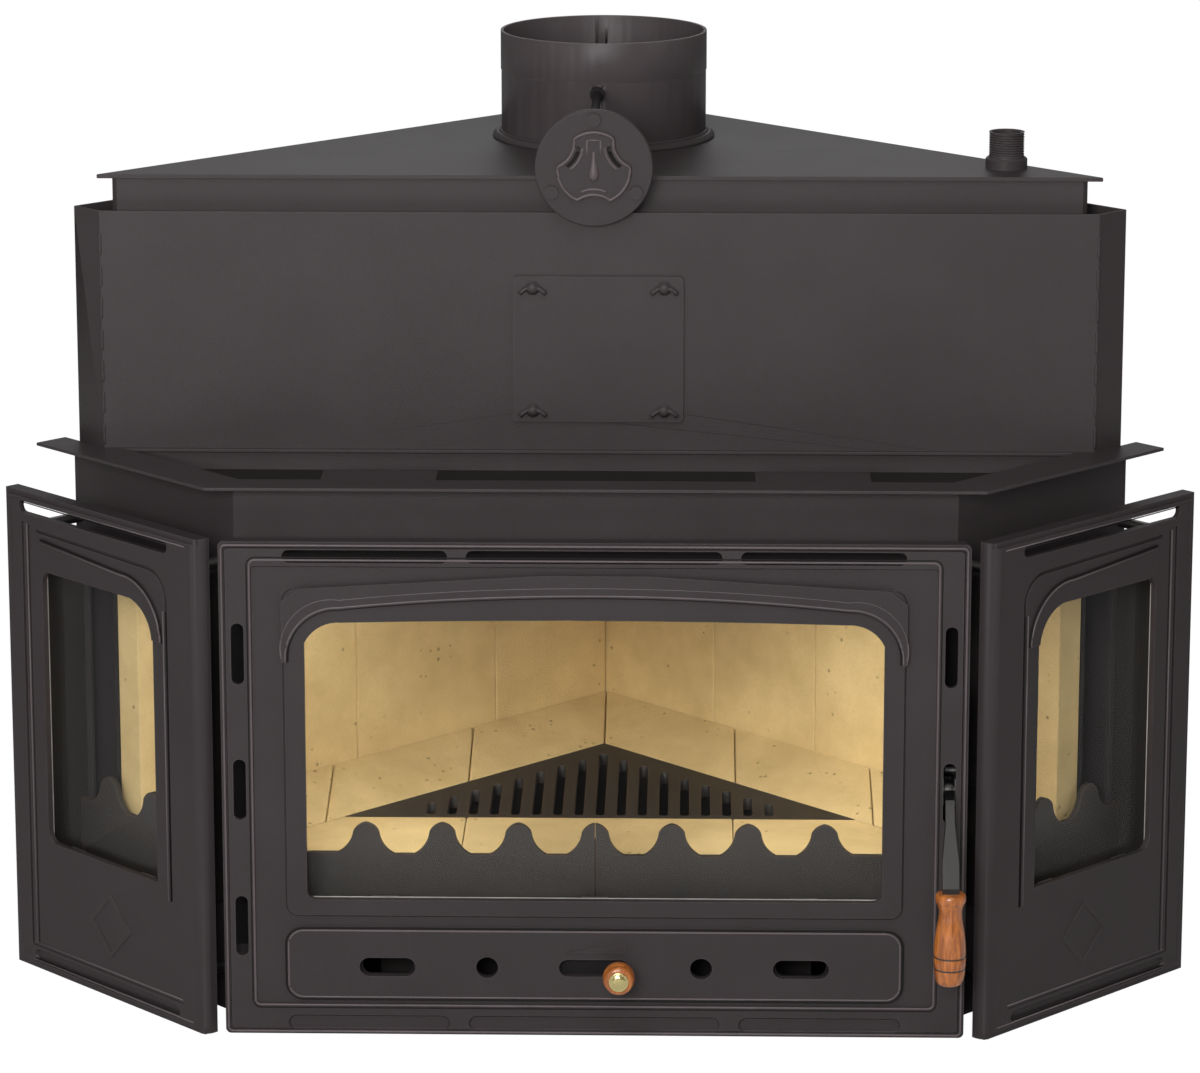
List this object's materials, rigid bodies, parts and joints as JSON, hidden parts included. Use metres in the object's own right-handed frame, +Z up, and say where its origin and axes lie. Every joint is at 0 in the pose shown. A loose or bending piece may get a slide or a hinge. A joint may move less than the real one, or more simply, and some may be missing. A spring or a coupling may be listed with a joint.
{
  "type": "fireplace insert",
  "caption": "Water-heating corner fireplace insert: cast door between angled glazed wings, steel body with brick lining, water jacket and flue collar.",
  "frame": {"origin": "on the floor under the axis of the flue collar", "axes": "+Z up along the flue, -Y towards the room and the door, +Y towards the room corner, +X to the right seen from the room, along the width"},
  "size_m": [1.1134, 0.7808, 0.87],
  "materials": {
    "cast_paint": "charcoal heat-proof paint on fine cast iron",
    "sheet_paint": "charcoal heat-proof paint on sheet steel, satin",
    "inner_steel": "dark heat-proof paint, matt",
    "grate_iron": "bare grey cast iron",
    "fireclay": "pale yellow fireclay, matt and pitted",
    "clear_glass": "clear heat-proof glass",
    "rope_seal": "woven glass rope and flat tape",
    "fixings": "darkened steel",
    "varnished_wood": "turned beech, orange gloss varnish",
    "brass_cap": "polished brass"
  },
  "bodies": {
    "insert": {"left_wing_panel": "cast_paint", "right_wing_panel": "cast_paint", "left_log_comb": "cast_paint", "right_log_comb": "cast_paint", "wing_log_combs": "cast_paint", "front_shell": "sheet_paint", "jacket_outer_shell": "sheet_paint", "front_flange": "sheet_paint", "convection_shroud": "sheet_paint", "upper_jacket_walls": "sheet_paint", "top_plate": "sheet_paint", "flue_collar": "sheet_paint", "flue_base_ring": "sheet_paint", "inspection_cover": "sheet_paint", "inspection_cover_bolts": "sheet_paint", "water_outlet_nipple": "sheet_paint", "water_return_nipple": "sheet_paint", "base_plate": "sheet_paint", "jacket_inner_shell": "inner_steel", "hearth_plate": "inner_steel", "grate_frame": "inner_steel", "firebox_ceiling": "inner_steel", "smoke_box": "inner_steel", "smoke_baffle": "inner_steel", "door_sleeve": "inner_steel", "wing_sleeves": "inner_steel", "ash_pan": "inner_steel", "ash_pan_handle": "inner_steel", "grate": "grate_iron", "wall_bricks": "fireclay", "hearth_bricks": "fireclay", "wing_glass": "clear_glass", "wing_rope_seals": "rope_seal", "wing_glass_gaskets": "rope_seal", "wing_glass_clips": "fixings", "wing_fixing_bolts": "fixings", "door_hinge_brackets": "fixings", "door_hinge_pins": "fixings", "latch_keeper": "fixings"},
    "door": {"door_casting": "cast_paint", "door_glass": "clear_glass", "door_glass_gasket": "rope_seal", "door_glass_clips": "fixings", "door_rope_seal": "rope_seal", "door_hinge_knuckles": "fixings", "handle_pivot_ears": "fixings", "air_slide_guides": "fixings"},
    "handle": {"handle_lever": "cast_paint", "handle_grip": "varnished_wood", "handle_pivot_pin": "fixings"},
    "air_slide": {"air_slide_plate": "fixings", "air_knob_stem": "fixings", "air_knob": "varnished_wood", "air_knob_cap": "brass_cap"},
    "damper": {"damper_shaft": "fixings", "damper_blade": "inner_steel", "damper_disc": "cast_paint", "damper_rosette": "cast_paint", "damper_rivets": "fixings"}
  },
  "joints": [
    {"name": "door_hinge", "type": "hinge", "parent": "insert", "child": "door", "pos_m": [-0.325, -0.429, 0.2], "axis": [0, 0, -1], "range_deg": [0, 100]},
    {"name": "handle_pivot", "type": "hinge", "parent": "door", "child": "handle", "pos_m": [0.321, -0.429, 0.2375], "axis": [-1, 0, 0], "range_deg": [0, 45]},
    {"name": "air_slide_travel", "type": "slide", "parent": "door", "child": "air_slide", "axis": [-1, 0, 0], "range_m": [0, 0.046]},
    {"name": "damper_turn", "type": "hinge", "parent": "insert", "child": "damper", "pos_m": [-0.004, 0, 0.823], "axis": [0, 1, 0], "range_deg": [0, 90]}
  ]
}
